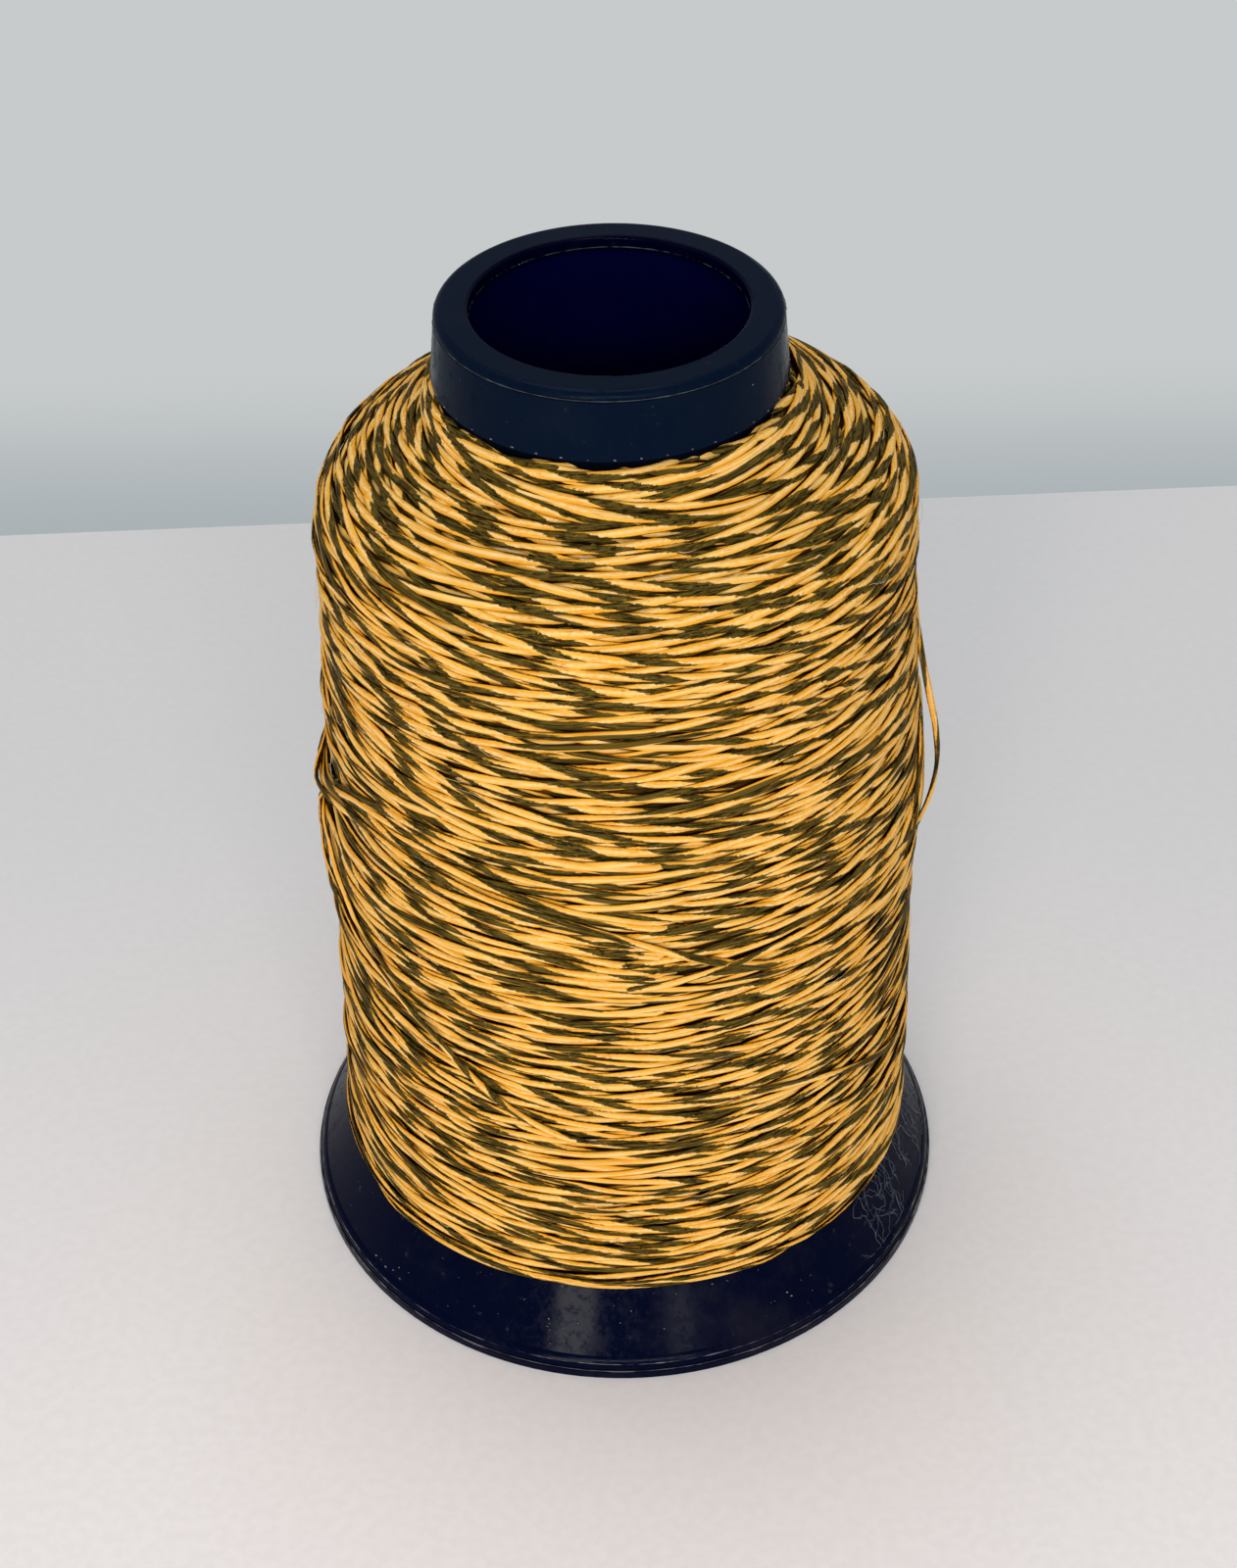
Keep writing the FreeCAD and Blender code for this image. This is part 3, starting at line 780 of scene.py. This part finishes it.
def times(tree, first, second):
    return maths(tree, "MULTIPLY", first, second)


def plus(tree, first, second):
    return maths(tree, "ADD", first, second)


def about_zero(tree, value, reach):
    """A noise value, which lies about a half, turned into one about 0 and stretched over reach."""
    return times(tree, maths(tree, "SUBTRACT", value, 0.5), reach)


def ramp(tree, value, low, high, to_low=0.0, to_high=1.0):
    """An eased step of a value from low to high."""
    node = add_node(tree, "ShaderNodeMapRange", interpolation_type="SMOOTHSTEP")
    feed(tree, node.inputs["Value"], value)
    for name, number in (("From Min", low), ("From Max", high), ("To Min", to_low), ("To Max", to_high)):
        feed(tree, node.inputs[name], number)
    return node.outputs["Result"]


def noise(tree, vector, scale, detail=2.0, roughness=0.5):
    """Cloudy values about a half."""
    node = add_node(tree, "ShaderNodeTexNoise")
    feed(tree, node.inputs["Vector"], vector)
    feed(tree, node.inputs["Scale"], scale)
    feed(tree, node.inputs["Detail"], detail)
    feed(tree, node.inputs["Roughness"], roughness)
    return node.outputs["Fac"]


def blend(tree, share, first, second):
    """Mix two colours by a share."""
    node = add_node(tree, "ShaderNodeMix", data_type="RGBA")
    feed(tree, node.inputs["Factor"], share)
    feed(tree, node.inputs[6], first)
    feed(tree, node.inputs[7], second)
    return node.outputs[2]


def bump(tree, shader, height, strength, distance):
    """Fine relief on a shader. distance is in metres."""
    node = add_node(tree, "ShaderNodeBump")
    feed(tree, node.inputs["Strength"], strength)
    feed(tree, node.inputs["Distance"], distance)
    feed(tree, node.inputs["Height"], height)
    tree.links.new(node.outputs[0], shader.inputs["Normal"])


def new_group(name, inputs, outputs):
    """An empty shader group with named sockets. Returns it with its input and output nodes."""
    group = bpy.data.node_groups.new(name, "ShaderNodeTree")
    for label, kind in inputs:
        group.interface.new_socket(label, in_out="INPUT", socket_type=kind)
    for label, kind in outputs:
        group.interface.new_socket(label, in_out="OUTPUT", socket_type=kind)
    return group, group.nodes.new("NodeGroupInput"), group.nodes.new("NodeGroupOutput")


def place_group(tree, group, **values):
    """A shader group in a material, with its inputs fed. Returns its outputs."""
    node = tree.nodes.new("ShaderNodeGroup")
    node.node_tree = group
    for name, value in values.items():
        feed(tree, node.inputs[name], value)
    return node.outputs


def filament_group():
    """Streaks of fine filaments that run along a strand."""
    group, given, result = new_group(
        "filaments",
        [("Turn", "NodeSocketFloat"), ("Around", "NodeSocketFloat"), ("Stretch", "NodeSocketFloat")],
        [("Streaks", "NodeSocketFloat"), ("Tufts", "NodeSocketFloat")],
    )
    turn, around, stretch = list(given.outputs)[:3]
    fine = add_node(group, "ShaderNodeCombineXYZ")
    feed(group, fine.inputs[0], times(group, turn, stretch))
    feed(group, fine.inputs[1], times(group, around, 11.0))
    broad = add_node(group, "ShaderNodeCombineXYZ")
    feed(group, broad.inputs[0], times(group, turn, 23.0))
    feed(group, broad.inputs[1], times(group, around, 7.0))
    feed(group, result.inputs["Streaks"], noise(group, fine.outputs[0], 1.0, 3.0, 0.62))
    feed(group, result.inputs["Tufts"], noise(group, broad.outputs[0], 1.0, 2.0, 0.6))
    return group


def wear_group():
    """Scuffs, a dusty haze and fine moulding texture on plastic."""
    group, given, result = new_group(
        "handling_wear",
        [("Place", "NodeSocketVector"), ("Plastic", "NodeSocketColor"), ("Dust", "NodeSocketColor"),
         ("Haze", "NodeSocketFloat"), ("Gloss", "NodeSocketFloat")],
        [("Colour", "NodeSocketColor"), ("Roughness", "NodeSocketFloat"), ("Height", "NodeSocketFloat")],
    )
    place, plastic, dust, amount, gloss = list(given.outputs)[:5]
    cloud = noise(group, place, 85.0, 6.0, 0.68)
    specks = noise(group, place, 900.0, 2.0, 0.5)
    stretch = add_node(group, "ShaderNodeMapping")
    feed(group, stretch.inputs["Vector"], place)
    feed(group, stretch.inputs["Scale"], (1.0, 1.0, 0.14))
    scratches = noise(group, stretch.outputs[0], 620.0, 3.0, 0.7)
    rubbed_wear_and_bead_highlight = noise(group, place, 900.0, 4.0, 0.75)

    # Dust lies in thin clouds and in grains
    haze = times(group, ramp(group, cloud, 0.46, 0.80, 0.0, 0.55), amount)
    grit = times(group, ramp(group, specks, 0.70, 0.80, 0.0, 1.6), amount)
    feed(group, result.inputs["Colour"], blend(group, plus(group, haze, grit), plastic, dust))

    # The gloss suffers where it is clouded, scratched or rubbed
    scratched = ramp(group, scratches, 0.50, 0.72, 0.0, 0.16)
    worn = plus(group, times(group, cloud, 0.12), scratched)
    worn = plus(group, worn, ramp(group, rubbed_wear_and_bead_highlight, 0.44, 0.70, 0.0, 0.26))
    feed(group, result.inputs["Roughness"], plus(group, gloss, worn))
    relief = plus(group, times(group, scratches, 0.6), specks)
    feed(group, result.inputs["Height"], relief)
    return group


def object_place(tree):
    """The place on the piece, in metres."""
    return add_node(tree, "ShaderNodeTexCoord").outputs["Object"]


def parts_of(tree, vector):
    """The three numbers of a vector."""
    split = add_node(tree, "ShaderNodeSeparateXYZ")
    tree.links.new(vector, split.inputs[0])
    return split.outputs


# The dyed thread's colours: the golden ply, the olive-brown one, a painted highlight down the gold's middle,
# painted shade on its sides, and painted shade between strands
GOLD, YELLOW_GOLD, PAINTED_GOLD_HIGHLIGHT = (0.79, 0.375, 0.034), (0.89, 0.485, 0.078), (0.90, 0.62, 0.26)
DEEP_GOLD, PAINTED_GOLD_SIDE_SHADE = (0.53, 0.175, 0.005), (0.37, 0.115, 0.002)
DARK_OLIVE, OLIVE, PALE_OLIVE = (0.008, 0.006, 0.0015), (0.114, 0.078, 0.013), (0.28, 0.172, 0.032)
PAINTED_STRAND_GAP_SHADE = (0.020, 0.007, 0.0005)


def two_ply_thread(filaments):
    """Waxy multifilament of a golden and an olive-brown ply, twisted together."""
    material = bpy.data.materials.new("two_ply_thread")
    tree, shader = nodes_of(material)
    turn, around, _ = parts_of(tree, add_node(tree, "ShaderNodeUVMap", uv_map="strand").outputs[0])
    strand = place_group(tree, filaments, Turn=turn, Around=around, Stretch=7.5)
    streaks, tufts = strand["Streaks"], strand["Tufts"]
    slow = add_node(tree, "ShaderNodeCombineXYZ")
    tree.links.new(turn, slow.inputs[0])
    drift = noise(tree, slow.outputs[0], 1.3, 2.0)

    # The olive ply shows on one side of the strand, with a ragged, drifting edge, and more on the shoulder as
    # painted shade
    wave = maths(tree, "COSINE", times(tree, plus(tree, turn, around), 2 * math.pi))
    ragged = plus(tree, about_zero(tree, streaks, 1.5), about_zero(tree, tufts, 0.9))
    edge = plus(tree, plus(tree, wave, ragged), about_zero(tree, drift, 1.8))
    height = parts_of(tree, object_place(tree))[2]
    # Painted shade: more of the olive ply high on the shoulder, so that the shoulder shows darker
    edge = plus(tree, edge, ramp(tree, height, 0.084, 0.094, 0.0, 0.20))
    dark = ramp(tree, edge, 0.12, 0.42)

    # How far a place lies from the middle of the strand's outer face: 0 on it, 1 at the next strand
    off = maths(tree, "ABSOLUTE", maths(tree, "SUBTRACT", times(tree, around, 3.2), 1.0))
    off_face_middle = plus(tree, off, about_zero(tree, tufts, 0.7))
    patchy = noise(tree, object_place(tree), 240.0, 2.0)
    gold = blend(tree, ramp(tree, patchy, 0.32, 0.68), GOLD, YELLOW_GOLD)
    # Painted highlight down the middle of each strand's face, and painted shade towards its sides
    gold = blend(tree, ramp(tree, off_face_middle, 0.36, -0.10), gold, PAINTED_GOLD_HIGHLIGHT)
    gold = blend(tree, ramp(tree, streaks, 0.24, 0.46), DEEP_GOLD, gold)
    gold = blend(tree, ramp(tree, off_face_middle, 0.64, 0.94), gold, PAINTED_GOLD_SIDE_SHADE)
    olive = blend(tree, ramp(tree, streaks, 0.36, 0.62), DARK_OLIVE, OLIVE)
    olive = blend(tree, ramp(tree, tufts, 0.58, 0.80), olive, PALE_OLIVE)
    colour = blend(tree, dark, gold, olive)
    # Painted shade in the gaps between strands
    colour = blend(tree, ramp(tree, off_face_middle, 0.88, 1.05), colour, PAINTED_STRAND_GAP_SHADE)
    tree.links.new(colour, shader.inputs["Base Color"])
    tree.links.new(ramp(tree, streaks, 0.2, 0.8, 0.42, 0.60), shader.inputs["Roughness"])
    bump(tree, shader, streaks, strength=0.55, distance=0.00009)
    shader.inputs["Specular IOR Level"].default_value = 0.06
    shader.inputs["Specular Tint"].default_value = (1.0, 0.78, 0.42, 1.0)
    return material


def shaded_thread(filaments):
    """The shaded strands under the outer layers."""
    material = bpy.data.materials.new("shaded_thread")
    tree, shader = nodes_of(material)
    x, y, z = parts_of(tree, object_place(tree))
    turn = times(tree, maths(tree, "ARCTAN2", y, x), 3.0)
    around = times(tree, z, 120.0)
    streaks = place_group(tree, filaments, Turn=turn, Around=around, Stretch=1.5)["Streaks"]
    colour = blend(tree, ramp(tree, streaks, 0.40, 0.66), (0.010, 0.006, 0.002), (0.12, 0.050, 0.006))
    tree.links.new(colour, shader.inputs["Base Color"])
    tree.links.new(ramp(tree, streaks, 0.3, 0.7, 0.65, 0.85), shader.inputs["Roughness"])
    bump(tree, shader, streaks, strength=0.6, distance=0.0002)
    shader.inputs["Specular IOR Level"].default_value = 0.08
    return material


def black_plastic(name, wear, plastic, haze, gloss, specular, bore=None):
    """Glossy black moulding. bore is another colour and the radius in metres within which it holds, which
    paints light and shade into a bore.
    """
    material = bpy.data.materials.new(name)
    tree, shader = nodes_of(material)
    if bore:
        x, y, _ = parts_of(tree, object_place(tree))
        across = plus(tree, times(tree, x, x), times(tree, y, y))
        deep, reach = bore
        plastic = blend(tree, ramp(tree, across, reach ** 2, (reach + 0.0002) ** 2), deep, plastic)
    worn = place_group(tree, wear, Place=object_place(tree), Plastic=plastic, Dust=(0.072, 0.062, 0.055),
                       Haze=haze, Gloss=gloss)
    tree.links.new(worn["Colour"], shader.inputs["Base Color"])
    tree.links.new(worn["Roughness"], shader.inputs["Roughness"])
    bump(tree, shader, worn["Height"], strength=0.26, distance=0.00003)
    shader.inputs["Specular IOR Level"].default_value = specular
    shader.inputs["Specular Tint"].default_value = (0.80, 0.92, 1.0, 1.0)
    return material


def pale_matt(name, first, second):
    """Dust, lint and whitened plastic, a little uneven."""
    material = bpy.data.materials.new(name)
    tree, shader = nodes_of(material)
    mottle = noise(tree, object_place(tree), 700.0, 2.0)
    colour = blend(tree, ramp(tree, mottle, 0.35, 0.65), first, second)
    tree.links.new(colour, shader.inputs["Base Color"])
    tree.links.new(ramp(tree, mottle, 0.3, 0.7, 0.6, 0.85), shader.inputs["Roughness"])
    return material


def camera():
    """The camera at the photograph's viewpoint."""
    data = bpy.data.cameras.new("camera")
    data.sensor_width = 36.0
    data.lens = 57.66
    data.clip_start = 0.01
    eye = bpy.data.objects.new("camera", data)
    bpy.context.scene.collection.objects.link(eye)
    place = (0, -0.19844, 0.21576)
    right = Vector((0.99983058, -0.01190432, -0.01403937))
    up = Vector((0.01840538, 0.63652833, 0.77103367))
    turn = Matrix((right, up, right.cross(up))).transposed().to_4x4()
    eye.matrix_world = Matrix.Translation(place) @ turn
    bpy.context.scene.camera = eye


def panel(name, corners, material):
    """A flat surface of the stage."""
    mesh = bpy.data.meshes.new(name)
    mesh.from_pydata(corners, [], [tuple(range(len(corners)))])
    mesh.materials.append(material)
    sheet = bpy.data.objects.new(name, mesh)
    bpy.context.scene.collection.objects.link(sheet)


def table_top():
    """Matt pale board, with painted light that makes it brighter and a little warmer towards the viewer."""
    material = bpy.data.materials.new("table_top")
    tree, shader = nodes_of(material)
    place = object_place(tree)
    near = ramp(tree, parts_of(tree, place)[1], -0.11, 0.08)
    colour = blend(tree, near, (0.93, 0.89, 0.90), (0.712, 0.713, 0.729))
    grain = noise(tree, place, 800.0, 3.0)
    colour = blend(tree, ramp(tree, grain, 0.35, 0.65, 0.0, 0.10), colour, (0.60, 0.58, 0.57))
    tree.links.new(colour, shader.inputs["Base Color"])
    shader.inputs["Roughness"].default_value = 0.8
    shader.inputs["Specular IOR Level"].default_value = 0.15
    return material


def beyond_the_table():
    """Pale blue-grey ground that shows as it is written, with painted shade that darkens it close under the
    table's edge.
    """
    material = bpy.data.materials.new("beyond_the_table")
    tree, shader = nodes_of(material)
    shader.inputs["Base Color"].default_value = (0.5, 0.53, 0.55, 1.0)
    shader.inputs["Roughness"].default_value = 0.9
    far = ramp(tree, parts_of(tree, object_place(tree))[1], 0.86, 1.05)
    glow = add_node(tree, "ShaderNodeEmission")
    tree.links.new(blend(tree, far, (0.40, 0.44, 0.46), (0.57, 0.595, 0.60)), glow.inputs["Color"])
    ray = add_node(tree, "ShaderNodeLightPath").outputs
    mirrored = maths(tree, "MAXIMUM", ray["Is Glossy Ray"], ray["Is Transmission Ray"])
    both = add_node(tree, "ShaderNodeMixShader")
    tree.links.new(maths(tree, "MAXIMUM", ray["Is Camera Ray"], mirrored), both.inputs[0])
    tree.links.new(shader.outputs[0], both.inputs[1])
    tree.links.new(glow.outputs[0], both.inputs[2])
    tree.links.new(both.outputs[0], tree.nodes["Material Output"].inputs[0])
    return material


def stage():
    """A pale table whose far edge runs behind the spool, and a grey-blue ground beyond it."""
    half, edge_left, edge_right = 3, 0.0096, 0.2496
    table = [(-half, -half, 0), (half, -half, 0), (half, edge_right, 0), (-half, edge_left, 0)]
    panel("table", table, table_top())
    wide, near, far, low = 6, -1, 7, -0.5
    ground = [(-wide, near, low), (wide, near, low), (wide, far, low), (-wide, far, low)]
    panel("ground", ground, beyond_the_table())


def lamp(name, place, aim, size, power, colour, spread=180):
    """A soft panel of light. spread is how widely it fans out, in degrees."""
    data = bpy.data.lights.new(name, "AREA")
    data.shape = "RECTANGLE"
    data.size, data.size_y = size
    data.energy = power
    data.color = colour
    data.spread = math.radians(spread)
    light = bpy.data.objects.new(name, data)
    light.location = place
    light.rotation_euler = (Vector(aim) - Vector(place)).to_track_quat("-Z", "Y").to_euler()
    bpy.context.scene.collection.objects.link(light)


def lighting():
    """Soft daylight from above and in front."""
    world = bpy.data.worlds.new("room")
    world.use_nodes = True
    background = world.node_tree.nodes["Background"]
    background.inputs["Color"].default_value = (0.94, 0.97, 1.0, 1.0)
    background.inputs["Strength"].default_value = 0.45
    bpy.context.scene.world = world
    daylight = (1.0, 0.985, 0.96)
    lamp("overhead", (-0.08, 0.24, 0.95), (0, 0, 0.04), (0.6, 0.5), 2.4, daylight)
    lamp("front", (0.02, -1.00, 0.60), (0, 0, 0.05), (0.7, 0.2), 2.15, daylight, spread=120)
    low = (0, 0, 0.02)
    lamp("window_left", (-0.268, -0.86, 0.23), low, (0.205, 0.26), 0.68, (1.0, 0.85, 0.72), spread=100)
    lamp("window_right", (0.262, -0.84, 0.23), low, (0.124, 0.26), 0.137, (1.0, 0.90, 0.82), spread=100)


def dress(node, material):
    """Give one of the solids its material."""
    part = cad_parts[node]
    part.data.materials.clear()
    part.data.materials.append(material)


def main():
    """Set the stage, dress the solids, lay the thread and add the small marks."""
    camera()
    stage()
    lighting()
    bpy.context.scene.view_settings.view_transform = "Standard"

    wear = wear_group()
    dress("base_skirt", black_plastic("base_plastic", wear, (0.0004, 0.0014, 0.0130),
                                      haze=0.20, gloss=0.05, specular=0.045))
    dress("top_collar", black_plastic("collar_plastic", wear, (0.0008, 0.0050, 0.0168),
                                      haze=0.08, gloss=0.12, specular=0.034,
                                      # Painted shade: the collar's bore darker than its outside
                                      bore=((0.0001, 0.0003, 0.0098), 0.0127)))
    dress("barrel", black_plastic("barrel_plastic", wear, (0.0008, 0.0018, 0.0060),
                                  haze=0.03, gloss=0.40, specular=0.02,
                                  # Painted light: the barrel's shaded bore a brighter blue than its lit
                                  # outside
                                  bore=((0.0002, 0.0005, 0.0290), 0.0154)))

    filaments = filament_group()
    thread = two_ply_thread(filaments)
    skin, package, layers = build_package(thread)
    body = inner_body(skin, package, shaded_thread(filaments))
    slack = slack_strand(thread)
    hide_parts("thread_core")
    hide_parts("thread_turns")
    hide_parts("loose_loop")
    filament_ends = pale_matt("filament_ends", (0.80, 0.55, 0.25), (0.90, 0.78, 0.55))
    for piece in [*layers, slack, thread_hairs(skin, filament_ends)]:
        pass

    lint = pale_matt("lint", (0.05, 0.075, 0.10), (0.17, 0.21, 0.25))
    dust = pale_matt("dust", (0.06, 0.06, 0.06), (0.40, 0.36, 0.30))
    # Pale plastic of the burrs and specks, and on the nubs a painted highlight for the glints they catch
    whitened_and_nub_glints = pale_matt("whitened_plastic_and_nub_glints", (0.010, 0.020, 0.035), (0.22, 0.26, 0.29))
    scuffed = pale_matt("scuffed_edge", (0.010, 0.012, 0.018), (0.115, 0.115, 0.12))
    # Pale colour of a painted highlight along the base's bead
    rubbed_wear_and_bead_highlight = pale_matt("painted_bead_highlight", (0.012, 0.015, 0.022), (0.20, 0.20, 0.21))
    # Grey of the collar's mould seam, and of a painted highlight on the edge of the bore's step
    seam_and_step_highlight = pale_matt("seam_and_step_highlight_plastic", (0.003, 0.006, 0.010), (0.045, 0.058, 0.066))
    marks = [skirt_lint(lint), skirt_dust(dust), collar_marks(whitened_and_nub_glints)]
    # Thin lines round the plastic: radius, height and width in mm, and the seed of their raggedness
    for name, radius, height, wide, seed, material in (
        ("collar_flash", collar_radius(106.42), 106.42, 0.07, 31, seam_and_step_highlight),
        # Painted highlight: a grey line along the edge of the step in the bore
        ("bore_step_highlight", 12.5, 106.1, -0.05, 35, seam_and_step_highlight),
        ("foot_flash", 34.86, 0.92, 0.14, 33, scuffed),
        # Painted highlight: a pale, slightly ragged ring along the middle of the base's bead
        ("bead_highlight_ring", 34.55, 1.68, 0.04, 37, rubbed_wear_and_bead_highlight),
    ):
        marks.append(flash_ring(name, radius, height, wide, seed, material))

    bpy.context.view_layer.update()


main()
